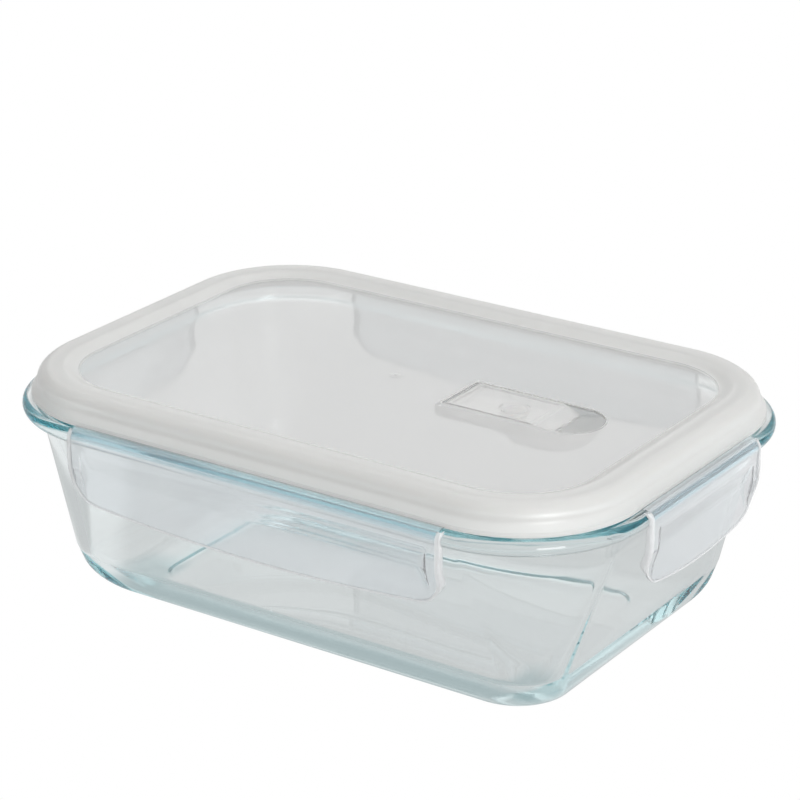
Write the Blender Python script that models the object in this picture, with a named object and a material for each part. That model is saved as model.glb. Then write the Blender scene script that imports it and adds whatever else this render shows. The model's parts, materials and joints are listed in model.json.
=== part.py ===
"""Snap-lid food container: a tempered-glass bowl under a polypropylene lid with four
hinged latches, a silicone seal and a flip-up steam vent.

Frame: origin at the middle of the base, +X along the long side, +Z up, metres.
An inset is how far a point lies inside the lid's lower outline; outside it is negative.
"""

import math

import bmesh
import bpy
from mathutils import Matrix, Vector

# Lid outline, at the lower edge of its skirt
LID_LENGTH = 0.222
LID_WIDTH = 0.155
LID_CORNER_R = 0.041

# Heights above the table
RIM_TOP_Z = 0.0691
LIP_TOP_Z = 0.0746
SKIRT_Z = 0.0695
PANEL_Z = 0.0771
CREST_Z = 0.0789
NECK_Z = 0.0610

# Bowl
GLASS = 0.0038
BASE_THICKNESS = 0.0045
FOOT_RECESS = 0.0006
FOOT_WIDTH = 0.008
NECK_INSET = 0.0034
WALL_SLOPE = math.tan(math.radians(15.9))
BASE_FILLET_R = 0.0145
BASE_CORNER_R = 0.018
WALL_CORNER_R = 0.015
RIM_BEAD_R = 0.0025
RIM_BEAD_OUTSET = 0.0006
RIM_COVE_R = 0.0026
LIP_INSET = 0.0042

# Lid
LID_WALL = 0.0017
PANEL_THICKNESS = 0.0015
SKIRT_DRAFT = 0.0019
CREST_EDGE_R = 0.0051
CREST_INSET = 0.0105
PANEL_INSET = 0.0160
RIB_INSET = 0.0084
RIB_THICKNESS = 0.0012
RIB_Z = 0.0710
GAP = 0.0003

# Latches: distances outside the lid's outline, and the curve of the plate
LATCH_HALF_LONG = 0.0709
LATCH_HALF_SHORT = 0.0351
HINGE_OUT = 0.0006
HINGE_Z = 0.0699
FILM_HALF = 0.00025
LATCH_WALL = 0.0012
RIM_CLEARANCE = 0.00045
LATCH_BULGE_OUT = 0.0054
LATCH_TAIL_OUT = 0.0047
LATCH_BULGE_Z = 0.0625
LATCH_TAIL_Z = 0.0520
LATCH_TIP_Z = 0.0420
LATCH_TIP_RISE = 0.0040
LATCH_TIP_CORNER_R = 0.0080
CATCH_ANGLE = math.radians(-52)
CATCH_FOOT_Z = 0.0612
CHEEK_WIDTH = 0.0080
CHEEK_BLEND = 0.0030
END_WALL = 0.0014
END_WALL_DEPTH = 0.0007

# Vent: a flap in a well, with a deeper round scoop for a fingertip
VENT_WALL = 0.0013
WELL_START_X = 0.0245
WELL_HALF_WIDTH = 0.0108
WELL_FLOOR_Z = 0.0722
SCOOP_START_X = 0.0520
SCOOP_FLOOR_Z = 0.0690
SCOOP_FLOOR_X = 0.0610
SCOOP_TOP_X = 0.0665
FLAP_HALF_WIDTH = 0.0100
FLAP_END_X = 0.0638
FLAP_BEND_X = 0.0575
FLAP_THICKNESS = 0.0014
FLAP_TOP_Z = 0.0771
FLAP_TIP_DROP = 0.0020
BARREL_R = 0.0021
TRUNNION_R = 0.0009
TRUNNION_LENGTH = 0.0012
PIVOT_BOSS = 0.0020
VENT_X = 0.0455
VENT_HOLE_R = 0.0026
SOCKET_R = 0.0052
SOCKET_DEPTH = 0.0012
PLUG_HEAD_R = 0.0041

# Facets
CORNER_STEPS = 8
ROUND_STEPS = 28
EPS = 0.0002

COLOURS = {
    "glass": ((0.80, 0.90, 0.90, 1.0), 0.03),
    "frosted_pp": ((0.90, 0.91, 0.90, 1.0), 0.35),
    "clear_pp": ((0.84, 0.87, 0.90, 1.0), 0.22),
    "silicone": ((0.86, 0.87, 0.86, 1.0), 0.55),
}


def clear_scene():
    """Start from an empty scene."""
    for obj in list(bpy.data.objects):
        bpy.data.objects.remove(obj, do_unlink=True)


def material(slot):
    """The Principled material of one material slot, made once."""
    found = bpy.data.materials.get(slot)
    if found:
        return found
    made = bpy.data.materials.new(slot)
    made.use_nodes = True
    shader = made.node_tree.nodes["Principled BSDF"]
    colour, roughness = COLOURS[slot]
    shader.inputs["Base Color"].default_value = colour
    shader.inputs["Roughness"].default_value = roughness
    shader.inputs["Metallic"].default_value = 0.0
    return made


def rounded_rectangle(half_x, half_y, radius):
    """Points round a rectangle with arcs for corners, anticlockwise."""
    points = []
    for corner, (sx, sy) in enumerate(((1, 1), (-1, 1), (-1, -1), (1, -1))):
        for step in range(CORNER_STEPS + 1):
            angle = math.pi / 2 * (corner + step / CORNER_STEPS)
            x = sx * (half_x - radius) + radius * math.cos(angle)
            y = sy * (half_y - radius) + radius * math.sin(angle)
            points.append((x, y))
    return points


def ring(inset, z, radius=None):
    """One ring of the bowl or the lid; its corners follow the outline unless told otherwise."""
    if radius is None:
        radius = LID_CORNER_R - inset
    outline = rounded_rectangle(LID_LENGTH / 2 - inset, LID_WIDTH / 2 - inset, radius)
    return [Vector((x, y, z)) for x, y in outline]


def arc(centre_inset, centre_z, radius, start_deg, end_deg, steps):
    """(inset, z) points on an arc; 0 degrees points outwards and 90 degrees up."""
    points = []
    for step in range(steps + 1):
        angle = math.radians(start_deg + (end_deg - start_deg) * step / steps)
        inset = centre_inset - radius * math.cos(angle)
        points.append((inset, centre_z + radius * math.sin(angle)))
    return points


def loft(rings, closed=False):
    """A closed mesh through rings of equal length; the end rings are capped unless it closes."""
    mesh = bmesh.new()
    rows = [[mesh.verts.new(point) for point in row] for row in rings]
    pairs = list(zip(rows, rows[1:]))
    if closed:
        pairs.append((rows[-1], rows[0]))
    else:
        mesh.faces.new(rows[0])
        mesh.faces.new(rows[-1])
    for low, high in pairs:
        for k in range(len(low)):
            after = (k + 1) % len(low)
            mesh.faces.new((low[k], low[after], high[after], high[k]))
    bmesh.ops.recalc_face_normals(mesh, faces=mesh.faces)
    return mesh


def add_object(name, mesh, slot, location=(0, 0, 0), turn=0.0, smooth_deg=35):
    """Turn a bmesh into a named object with its material and shading."""
    data = bpy.data.meshes.new(name)
    mesh.to_mesh(data)
    mesh.free()
    data.materials.append(material(slot))
    data.shade_smooth()
    data.set_sharp_from_angle(angle=math.radians(smooth_deg))
    obj = bpy.data.objects.new(name, data)
    obj.location = location
    obj.rotation_euler = (0, 0, turn)
    bpy.context.collection.objects.link(obj)
    return obj


def helper(name, mesh):
    """A cutter or an added lump: wire on screen and never rendered."""
    obj = add_object(name, mesh, "clear_pp")
    obj.display_type = "WIRE"
    obj.hide_render = True
    return obj


def boolean(target, tool, operation):
    """Join or cut with another object by a live modifier."""
    modifier = target.modifiers.new(tool.name, "BOOLEAN")
    modifier.operation = operation
    modifier.solver = "EXACT"
    modifier.object = tool


def box(low, high):
    """A box from its lowest to its highest corner."""
    mesh = bmesh.new()
    size = Vector(high) - Vector(low)
    middle = (Vector(high) + Vector(low)) / 2
    placing = Matrix.Translation(middle) @ Matrix.Diagonal((*size, 1))
    bmesh.ops.create_cube(mesh, size=1, matrix=placing)
    return mesh


def cylinder(centre, radius, length, axis="Z"):
    """A round bar about its centre, along Z or Y."""
    placing = Matrix.Translation(centre)
    if axis == "Y":
        placing = placing @ Matrix.Rotation(math.pi / 2, 4, "X")
    mesh = bmesh.new()
    bmesh.ops.create_cone(mesh, cap_ends=True, segments=ROUND_STEPS, radius1=radius,
                          radius2=radius, depth=length, matrix=placing)
    return mesh


# ---------------------------------------------------------------- bowl

def wall_inset(z):
    """Inset of the bowl's outer wall, which leans out towards the rim."""
    return NECK_INSET + (NECK_Z - z) * WALL_SLOPE


def base_fillet(offset, floor_z, radius, steps):
    """Arc from the floor into the sloping wall, floor end first; offset thickens inwards."""
    slope_deg = math.degrees(math.atan(WALL_SLOPE))
    top_z = floor_z + radius * (1 - math.sin(math.radians(slope_deg)))
    reach = radius * math.cos(math.radians(slope_deg))
    centre_inset = wall_inset(top_z) + offset + reach
    return arc(centre_inset, floor_z + radius, radius, -90, -slope_deg, steps)


def corner_radius(z, thinner):
    """Corner radius of the wall: wide at the neck, tighter at the base."""
    share = min(max((z - BASE_FILLET_R) / (NECK_Z - BASE_FILLET_R), 0), 1)
    neck_r = LID_CORNER_R - NECK_INSET
    base_r = WALL_CORNER_R + (BASE_CORNER_R - WALL_CORNER_R) * max(1 - z / BASE_FILLET_R, 0)
    return base_r + (neck_r - base_r) * share - thinner


def bowl_rings():
    """Outer foot, wall and rim, over the lip, and down the inside to the floor."""
    outer = base_fillet(0, 0, BASE_FILLET_R, 6)
    foot_inset = outer[0][0] + FOOT_WIDTH
    rings = [ring(foot_inset + FOOT_RECESS, FOOT_RECESS, BASE_CORNER_R - FOOT_WIDTH),
             ring(foot_inset, 0, BASE_CORNER_R - FOOT_WIDTH)]
    rings += [ring(inset, z, corner_radius(z, 0)) for inset, z in outer]
    bead_z = RIM_TOP_Z - RIM_BEAD_R
    under_z = bead_z - RIM_BEAD_R
    cove = [(NECK_INSET - RIM_COVE_R * (1 - math.cos(a)), under_z - RIM_COVE_R * (1 - math.sin(a)))
            for a in (math.radians(d) for d in (0, 30, 60, 90))]
    bead = arc(-RIM_BEAD_OUTSET, bead_z, RIM_BEAD_R, -90, 90, 8)
    lip_r = GLASS / 2
    lip = [(LIP_INSET - lip_r / 2, RIM_TOP_Z), (LIP_INSET, RIM_TOP_Z + lip_r / 2)]
    lip += arc(LIP_INSET + lip_r, LIP_TOP_Z - lip_r, lip_r, 0, 180, 6)
    rings += [ring(inset, z) for inset, z in cove + bead + lip]
    across = GLASS / math.cos(math.atan(WALL_SLOPE))
    land_z = NECK_Z - (LIP_INSET + GLASS - NECK_INSET - across) / WALL_SLOPE
    inner_r = BASE_FILLET_R - GLASS
    rings.append(ring(LIP_INSET + GLASS, land_z))
    for inset, z in reversed(base_fillet(across, BASE_THICKNESS, inner_r, 5)):
        rings.append(ring(inset, z, corner_radius(z, GLASS)))
    return rings


def make_bowl():
    add_object("glass_bowl", loft(bowl_rings()), "glass")


# ---------------------------------------------------------------- lid

def lid_rings():
    """Up the underside from the panel over the seal channel, round the skirt, and back on top."""
    roof_z = CREST_Z - LID_WALL
    under_z = PANEL_Z - PANEL_THICKNESS
    shoulder = SKIRT_DRAFT + LID_WALL
    under = [(PANEL_INSET - EPS, under_z), (CREST_INSET + LID_WALL / 2, roof_z),
             (RIB_INSET + RIB_THICKNESS, roof_z), (RIB_INSET + RIB_THICKNESS, RIB_Z),
             (RIB_INSET, RIB_Z), (RIB_INSET, roof_z), (shoulder + LID_WALL, roof_z),
             (shoulder, CREST_Z - CREST_EDGE_R), (LID_WALL, SKIRT_Z), (0, SKIRT_Z)]
    edge = arc(SKIRT_DRAFT + CREST_EDGE_R, CREST_Z - CREST_EDGE_R, CREST_EDGE_R, 0, 90, 5)
    rise = CREST_Z - PANEL_Z
    top = [(CREST_INSET, CREST_Z)]
    for step in range(1, 5):
        share = step / 4
        z = PANEL_Z + rise * (1 + math.cos(math.pi * share)) / 2
        top.append((CREST_INSET + (PANEL_INSET - CREST_INSET) * share, z))
    return [ring(inset, z) for inset, z in under + edge + top]


def scoop_outline(round_x, half_width, start_x, z):
    """A D-shaped outline: straight at start_x, half round about round_x."""
    points = [Vector((start_x, half_width, z)), Vector((start_x, -half_width, z))]
    for step in range(ROUND_STEPS // 2 + 1):
        angle = math.pi * (step / (ROUND_STEPS // 2) - 0.5)
        points.append(Vector((round_x + half_width * math.cos(angle),
                              half_width * math.sin(angle), z)))
    return points


def scoop(wall, low_z, high_z):
    """The finger scoop's space, or with a wall its outside, from low_z to high_z."""
    lean = (SCOOP_TOP_X - SCOOP_FLOOR_X) / (PANEL_Z - SCOOP_FLOOR_Z)
    low_x = SCOOP_FLOOR_X + lean * (low_z - SCOOP_FLOOR_Z)
    high_x = SCOOP_FLOOR_X + lean * (high_z - SCOOP_FLOOR_Z)
    half, start = WELL_HALF_WIDTH + wall, SCOOP_START_X - wall
    return loft([scoop_outline(low_x, half, start, low_z),
                 scoop_outline(high_x, half, start, high_z)])


def pivot():
    """The flap's hinge axis: where it crosses the middle plane."""
    return Vector((WELL_START_X + GAP + BARREL_R, 0, FLAP_TOP_Z - BARREL_R))


def make_lid():
    """The moulded lid: rim and panel, with the vent well hung below the panel."""
    lid = add_object("lid", loft(lid_rings()), "frosted_pp")
    buried_z = PANEL_Z - PANEL_THICKNESS / 2
    above_z = PANEL_Z + PANEL_THICKNESS
    axle = pivot()
    outside = WELL_HALF_WIDTH + VENT_WALL
    boss = BARREL_R + VENT_WALL
    well_low = (WELL_START_X - VENT_WALL, -outside, WELL_FLOOR_Z - VENT_WALL)
    lumps = [
        ("well_shell", box(well_low, (SCOOP_START_X + VENT_WALL, outside, buried_z))),
        ("scoop_shell", scoop(VENT_WALL, SCOOP_FLOOR_Z - VENT_WALL, buried_z)),
        ("pivot_shell", box((WELL_START_X - VENT_WALL, -outside - PIVOT_BOSS, axle.z - boss),
                            (axle.x + boss, outside + PIVOT_BOSS, buried_z))),
    ]
    cuts = [
        ("well_space", box((WELL_START_X, -WELL_HALF_WIDTH, WELL_FLOOR_Z),
                           (SCOOP_START_X + EPS, WELL_HALF_WIDTH, above_z))),
        ("scoop_space", scoop(0, SCOOP_FLOOR_Z, above_z)),
        ("trunnion_holes", cylinder(axle, TRUNNION_R + GAP, 2 * (WELL_HALF_WIDTH + PIVOT_BOSS),
                                    axis="Y")),
        ("vent_hole", cylinder((VENT_X, 0, WELL_FLOOR_Z), VENT_HOLE_R, 4 * VENT_WALL)),
    ]
    for name, mesh in lumps:
        boolean(lid, helper(name, mesh), "UNION")
    for name, mesh in cuts:
        boolean(lid, helper(name, mesh), "DIFFERENCE")


def make_gasket():
    """The silicone ring in the lid's channel, pressed by the glass lip."""
    outer, inner = LIP_INSET + GAP, RIB_INSET - GAP
    low_z, high_z = LIP_TOP_Z + GAP, CREST_Z - LID_WALL - GAP
    bevel = (high_z - low_z) / 3
    section = [(outer + bevel, low_z), (inner - bevel, low_z), (inner, low_z + bevel),
               (inner, high_z), (outer + 2 * bevel, high_z), (outer, low_z + bevel)]
    rings = [ring(inset, z) for inset, z in section]
    add_object("lid_gasket", loft(rings, closed=True), "silicone")


# ---------------------------------------------------------------- latches

def latch_outer(z):
    """How far out the latch's outer face stands at a height below its shoulder."""
    if z >= LATCH_BULGE_Z:
        return LATCH_BULGE_OUT
    share = min((LATCH_BULGE_Z - z) / (LATCH_BULGE_Z - LATCH_TAIL_Z), 1)
    swing = (1 + math.cos(math.pi * share)) / 2
    return LATCH_TAIL_OUT + (LATCH_BULGE_OUT - LATCH_TAIL_OUT) * swing


def around_rim(radius, angle):
    """(out, z) of a point round the glass rim's bead, 90 degrees being straight up."""
    bead_z = RIM_TOP_Z - RIM_BEAD_R
    return RIM_BEAD_OUTSET + radius * math.cos(angle), bead_z + radius * math.sin(angle)


def latch_section(along, half_length, catch, end_wall):
    """Closed (out, z) outline of the latch at a distance along it.

    catch is 1 where the ridge reaches under the rim and 0 where the plate is plain.
    """
    inner_r = RIM_BEAD_R + RIM_CLEARANCE
    tip = tip_z(along, half_length)
    foot = CATCH_FOOT_Z
    levels = [foot + (tip - foot) * step / 4 for step in range(5)]
    shoulder = [(HINGE_OUT - FILM_HALF, HINGE_Z + FILM_HALF),
                (HINGE_OUT + 4 * FILM_HALF, HINGE_Z + FILM_HALF)]
    crown_r = inner_r + LATCH_WALL
    crown = [around_rim(crown_r, math.radians(deg)) for deg in (50, 30, 10)]
    outer = shoulder + crown + [(LATCH_BULGE_OUT, LATCH_BULGE_Z)]
    outer += [(latch_outer(z), z) for z in levels]
    thickness = LATCH_WALL + (END_WALL_DEPTH if end_wall else 0)
    thinnest = RIM_BEAD_OUTSET + inner_r
    inner = [(max(latch_outer(z) - thickness, thinnest), z) for z in reversed(levels)]
    hook = catch * CATCH_ANGLE
    inner += [around_rim(inner_r, hook + (math.radians(60) - hook) * step / 5) for step in range(6)]
    inner.append((HINGE_OUT - FILM_HALF, HINGE_Z - FILM_HALF))
    return outer + inner


def tip_z(along, half_length):
    """Height of the latch's lower edge: a shallow arc with rounded corners."""
    from_corner = abs(along) - (half_length - LATCH_TIP_CORNER_R)
    z = LATCH_TIP_Z + LATCH_TIP_RISE * (along / half_length) ** 2
    if from_corner > 0:
        r = LATCH_TIP_CORNER_R
        z += r - math.sqrt(max(r * r - from_corner * from_corner, 0))
    return z


def latch_stations(half_length):
    """(distance, catch, end wall) from the middle of a latch to its end."""
    flat = half_length - CHEEK_WIDTH - CHEEK_BLEND
    stations = [(flat * step / 3, 1, False) for step in range(4)]
    stations += [(half_length - CHEEK_WIDTH, 0, False)]
    stations += [(half_length - CHEEK_WIDTH * share, 0, False) for share in (0.65, 0.35)]
    stations.append((half_length - END_WALL - EPS, 0, False))
    stations += [(half_length - END_WALL, 1, True), (half_length - END_WALL / 3, 1, True),
                 (half_length, 1, True)]
    return stations


def make_latch(name, side_deg, lid_half, half_length):
    """A latch on one side of the lid, with its origin on its hinge axis."""
    half = latch_stations(half_length)
    stations = [(-s, catch, end) for s, catch, end in reversed(half[1:])] + half
    rows = []
    for along, catch, end_wall in stations:
        outline = latch_section(along, half_length, catch, end_wall)
        rows.append([Vector((out - HINGE_OUT, along, z - HINGE_Z)) for out, z in outline])
    turn = math.radians(side_deg)
    reach = lid_half + HINGE_OUT
    place = (reach * math.cos(turn), reach * math.sin(turn), HINGE_Z)
    add_object(name, loft(rows), "clear_pp", location=place, turn=turn)


def make_latches():
    for name, side_deg in (("latch_right", 0), ("latch_left", 180)):
        make_latch(name, side_deg, LID_LENGTH / 2, LATCH_HALF_SHORT)
    for name, side_deg in (("latch_rear", 90), ("latch_front", 270)):
        make_latch(name, side_deg, LID_WIDTH / 2, LATCH_HALF_LONG)


# ---------------------------------------------------------------- vent

def flap_outline():
    """Side view of the flap about its pivot: barrel, plate and turned-down finger end."""
    top = FLAP_TOP_Z - pivot().z
    bend, tip = FLAP_BEND_X - pivot().x, FLAP_END_X - pivot().x
    points = [(bend, top), (tip, top - FLAP_TIP_DROP), (tip, top - FLAP_TIP_DROP - FLAP_THICKNESS),
              (bend, top - FLAP_THICKNESS)]
    under = math.asin((top - FLAP_THICKNESS) / BARREL_R)
    steps = 12
    for step in range(steps + 1):
        angle = under + (math.pi / 2 - under - 2 * math.pi) * step / steps
        points.append((BARREL_R * math.cos(angle), BARREL_R * math.sin(angle)))
    return points


def make_flap():
    """The vent flap: an extruded plate with trunnions and a socket for the plug."""
    rows = [[Vector((x, y, z)) for x, z in flap_outline()] for y in (-FLAP_HALF_WIDTH, FLAP_HALF_WIDTH)]
    flap = add_object("vent_flap", loft(rows), "clear_pp", location=pivot())
    span = 2 * (FLAP_HALF_WIDTH + TRUNNION_LENGTH)
    under_z = FLAP_TOP_Z - FLAP_THICKNESS
    middle = (VENT_X, 0, under_z - SOCKET_DEPTH / 2 + EPS)
    tall = SOCKET_DEPTH + 2 * EPS
    boolean(flap, helper("trunnions", cylinder(pivot(), TRUNNION_R, span, axis="Y")), "UNION")
    boolean(flap, helper("socket_wall", cylinder(middle, SOCKET_R, tall)), "UNION")
    cut = cylinder((VENT_X, 0, under_z - SOCKET_DEPTH / 2 - EPS), PLUG_HEAD_R + GAP,
                   SOCKET_DEPTH + 2 * EPS)
    boolean(flap, helper("socket_space", cut), "DIFFERENCE")


def make_plug():
    """The silicone plug that the flap presses into the vent hole: head, skirt and stem."""
    head_z = FLAP_TOP_Z - FLAP_THICKNESS - 3 * GAP
    seat_z = WELL_FLOOR_Z + GAP
    stem_z = WELL_FLOOR_Z - VENT_WALL
    stem_r = VENT_HOLE_R - 4 * GAP / 3
    profile = [(PLUG_HEAD_R, head_z), (PLUG_HEAD_R, seat_z + GAP), (PLUG_HEAD_R - GAP, seat_z),
               (stem_r, seat_z), (stem_r, stem_z + GAP), (stem_r - GAP, stem_z)]
    rings = []
    for radius, z in profile:
        angles = [2 * math.pi * k / ROUND_STEPS for k in range(ROUND_STEPS)]
        rings.append([Vector((VENT_X + radius * math.cos(a), radius * math.sin(a), z))
                      for a in angles])
    plug = add_object("vent_plug", loft(rings), "silicone")
    axle = pivot()
    plug.data.transform(Matrix.Translation(-axle))
    plug.location = axle


def main():
    clear_scene()
    make_bowl()
    make_lid()
    make_gasket()
    make_latches()
    make_flap()
    make_plug()


main()
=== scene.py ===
"""Looks of the snap-lid food container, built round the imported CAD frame.

Glass bowl with absorption in its thickness, frosted and clear polypropylene lid, four
latches on living hinges, silicone seal and a vent flap. Metres, +Z up.
An inset is how far a point lies inside the lid's lower outline.
"""

import json
import math

import bmesh
import bpy
from mathutils import Matrix, Vector


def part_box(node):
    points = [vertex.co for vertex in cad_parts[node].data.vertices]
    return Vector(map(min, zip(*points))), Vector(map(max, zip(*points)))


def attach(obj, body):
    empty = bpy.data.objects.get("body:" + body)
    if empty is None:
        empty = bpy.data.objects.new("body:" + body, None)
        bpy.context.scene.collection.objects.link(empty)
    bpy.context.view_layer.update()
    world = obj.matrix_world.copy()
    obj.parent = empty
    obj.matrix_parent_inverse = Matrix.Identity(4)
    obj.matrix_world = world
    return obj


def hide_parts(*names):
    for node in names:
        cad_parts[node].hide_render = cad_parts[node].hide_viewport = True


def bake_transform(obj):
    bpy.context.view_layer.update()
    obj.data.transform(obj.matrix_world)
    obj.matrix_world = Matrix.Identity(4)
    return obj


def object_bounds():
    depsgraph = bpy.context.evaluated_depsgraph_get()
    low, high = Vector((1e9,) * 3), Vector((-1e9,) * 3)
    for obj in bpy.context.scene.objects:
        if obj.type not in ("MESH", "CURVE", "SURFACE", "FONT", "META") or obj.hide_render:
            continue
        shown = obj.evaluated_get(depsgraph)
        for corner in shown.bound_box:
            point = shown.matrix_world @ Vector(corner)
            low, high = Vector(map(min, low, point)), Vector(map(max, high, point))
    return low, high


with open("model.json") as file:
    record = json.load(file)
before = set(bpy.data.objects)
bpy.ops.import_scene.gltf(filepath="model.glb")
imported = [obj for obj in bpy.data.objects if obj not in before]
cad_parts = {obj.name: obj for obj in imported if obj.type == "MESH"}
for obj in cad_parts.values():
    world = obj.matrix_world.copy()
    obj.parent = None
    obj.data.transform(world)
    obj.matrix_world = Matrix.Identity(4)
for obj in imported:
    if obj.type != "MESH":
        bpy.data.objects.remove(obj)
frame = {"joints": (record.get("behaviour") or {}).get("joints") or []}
CAD_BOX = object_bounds()

# ---------------------------------------------------------------- sizes taken from the frame

LID_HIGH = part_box("lid")[1]
BOWL_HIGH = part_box("glass_bowl")[1]
JOINTS = {joint["name"]: joint for joint in frame["joints"]}
HALF_X, HALF_Y = LID_HIGH.x, LID_HIGH.y
CREST_Z = LID_HIGH.z
LIP_TOP_Z = BOWL_HIGH.z
RIM_OUT = BOWL_HIGH.x - HALF_X
PIVOT = Vector(JOINTS["vent_flap_hinge"]["pos_m"])
HINGE_OUT = JOINTS["latch_right_hinge"]["pos_m"][0] - HALF_X
FLAP_LOW, FLAP_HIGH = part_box("vent_flap")
PLUG_LOW, PLUG_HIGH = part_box("vent_plug")

# ---------------------------------------------------------------- shapes

LID_CORNER_R = 0.041
SKIRT_Z = 0.0695
PANEL_Z = 0.0771
RIM_TOP_Z = 0.0691
NECK_Z = 0.0610

GLASS = 0.0038
BASE_THICKNESS = 0.0045
FOOT_RECESS = 0.0006
FOOT_WIDTH = 0.008
NECK_INSET = 0.0034
WALL_SLOPE = math.tan(math.radians(15.9))
BASE_FILLET_R = 0.0145
INNER_FILLET_R = 0.0150
BASE_CORNER_R = 0.018
WALL_CORNER_R = 0.015
RIM_BEAD_R = 0.0025
RIM_COVE_R = 0.0026
LIP_INSET = 0.0042
GLASS_WAVE = 0.00003

LID_WALL = 0.0017
PANEL_THICKNESS = 0.0015
SKIRT_DRAFT = 0.0019
CREST_EDGE_R = 0.0051
CREST_INSET = 0.0105
PANEL_INSET = 0.0160
RIB_INSET = 0.0084
RIB_THICKNESS = 0.0012
RIB_Z = 0.0710
GAP = 0.0003

LATCH_WALL = 0.0010
LATCH_TOP_DEG = 50
LATCH_EDGE_COLUMNS = 9
LATCH_EDGE_ROWS = 4
LATCH_ROLL_ROWS = 7
LATCH_GAP = 0.0003
LATCH_THIN_Z = 0.0698
LATCH_TIP_Z = 0.0415
LATCH_TIP_RISE = 0.0040
LATCH_CORNER_R = 0.0080
LATCH_FOLD_R = 0.0008
LATCH_CHEEK = (0.0047, 0.0054)
LATCH_CHEEK_Z = (0.0470, 0.0570)
LATCH_LEG_SLOPE = 0.56
LATCH_SIDE = ((0.0440, 0.0023), (0.0480, 0.0024), (0.0510, 0.0028), (0.0530, 0.0034),
              (0.0565, 0.0043), (0.0600, 0.0045), (0.0630, 0.0044), (0.0666, 0.0044))
LATCH_MIDDLE = ((0.0440, 0.0022), (0.0500, 0.0022), (0.0556, 0.0023), (0.0572, 0.0026),
                (0.0624, 0.0042), (0.0636, 0.0044), (0.0666, 0.0044))
LATCH_END_DEPTH = ((0.0440, 0.0030), (0.0500, 0.0030), (0.0560, 0.0021), (0.0640, 0.0018),
                   (0.0700, 0.0014))
LATCH_EDGE_R = 0.00022
LATCH_COLUMN_STEP = 0.0005
LATCH_TAPER = 0.0022
LATCH_THIN_SHARE = 0.35
FILM_THICKNESS = 0.00025
FILM_REACH = 0.0026
FILM_DROP = 0.0006
FILM_ARCH = 0.0004
FILM_SHORTER = 0.0012

VENT_WALL = 0.0013
WELL_START_X = PIVOT.x - 0.0024
WELL_HALF_WIDTH = 0.0108
WELL_FLOOR_Z = 0.0722
SCOOP_START_X = 0.0520
SCOOP_FLOOR_Z = 0.0690
SCOOP_FLOOR_X = 0.0610
SCOOP_TOP_X = 0.0665
VENT_HOLE_R = 0.0026
VENT_EDGE_R = 0.0003
PIVOT_BOSS = 0.0007
PIP = ((0.0026, -0.0003), (0.0026, 0.0), (0.0023, 0.00015), (0.0016, 0.00020),
       (0.0008, 0.00014), (0.0004, 0.00028))
FLAP_HALF_WIDTH = 0.0100
FLAP_THICKNESS = 0.0014
FLAP_BEND_X = 0.0575
FLAP_TIP_DROP = 0.0020
FLAP_BORDER = 0.0012
FLAP_POCKET = 0.00035

CORNER_STEPS = 28
SIDE_STEPS = 14
ROUND_STEPS = 48

# ---------------------------------------------------------------- studio and camera

FLOOR_LEVEL = 0.655
# Painted light and shade on the floor at the left: bright, dark and bright stripes for the glass to
# refract.
LEFT_PAINTED_LIGHT_AND_SHADE_STRIPES = ((0.088, 0.098, 0.16), (0.114, 0.126, -0.22), (0.150, 0.165, 0.24))
LEFT_DIRECTION = (-0.8, -0.6, 0)
RIGHT_DIRECTION = (0.8, 0.6, 0)
# Painted light on the floor towards the right, for the glass to refract.
FLOOR_RIGHT_PAINTED_LIGHT_SPAN = (0.14, 0.19)
FLOOR_RIGHT_PAINTED_LIGHT = 0.30
SHADE_CORE = (0.061, 0.0345, 0.0)
SHADE_RISE = (0.003, 0.009)
SHADE_FALL = (0.016, 0.030)
SHADE_SIDE = ((0.0, -1.0, 0.0), 0.018, 0.030)
SHADE_DEPTH = 0.17
SHADE_TINT = (0.84, 0.98, 1.0)
STUDIO_LEVEL = 0.64
STUDIO = (((0.0, 0.0, 1.0), 0.45, 0.95, 0.45),
          ((0.80, -0.58, 0.15), 0.55, 0.97, 0.45),
          ((-0.55, -0.83, 0.1), 0.25, 0.95, -0.46),
          ((-0.75, -0.65, 0.12), 0.985, 0.993, 1.3),
          ((-0.45, 0.70, 0.55), 0.80, 0.99, 0.42))

CAMERA_LENS = 130.4
CAMERA_AZIMUTH = 34.08
CAMERA_ELEVATION = 21.86
CAMERA_DISTANCE = 0.9564
CAMERA_AIM = Vector((-0.0054, 0.0104, 0.0640))


# ---------------------------------------------------------------- nodes and materials

def new_material(name):
    """An empty node material and its node tree."""
    made = bpy.data.materials.new(name)
    made.use_nodes = True
    tree = made.node_tree
    tree.nodes.clear()
    return made, tree


def add(tree, kind, **settings):
    """Add a node: settings name its properties, and sockets the values of its inputs."""
    node = tree.nodes.new(kind)
    for key, value in settings.items():
        if key == "sockets":
            for socket, content in value.items():
                node.inputs[socket].default_value = content
        else:
            setattr(node, key, value)
    return node


def noise(tree, scale, detail=3.0):
    """Object-space noise, its factor output."""
    where = add(tree, "ShaderNodeTexCoord")
    grain = add(tree, "ShaderNodeTexNoise", sockets={"Scale": scale, "Detail": detail})
    tree.links.new(where.outputs["Object"], grain.inputs["Vector"])
    return grain.outputs["Fac"]


def spread(tree, factor, low, high):
    """Map a 0..1 factor to low..high."""
    mapped = add(tree, "ShaderNodeMapRange", sockets={"To Min": low, "To Max": high})
    tree.links.new(factor, mapped.inputs["Value"])
    return mapped.outputs["Result"]


def tinted(tree, factor, dark, light):
    """Mix two colours by a factor."""
    ramp = add(tree, "ShaderNodeMix", data_type="RGBA")
    ramp.inputs["A"].default_value = (*dark, 1)
    ramp.inputs["B"].default_value = (*light, 1)
    tree.links.new(factor, ramp.inputs["Factor"])
    return ramp.outputs["Result"]


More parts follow.
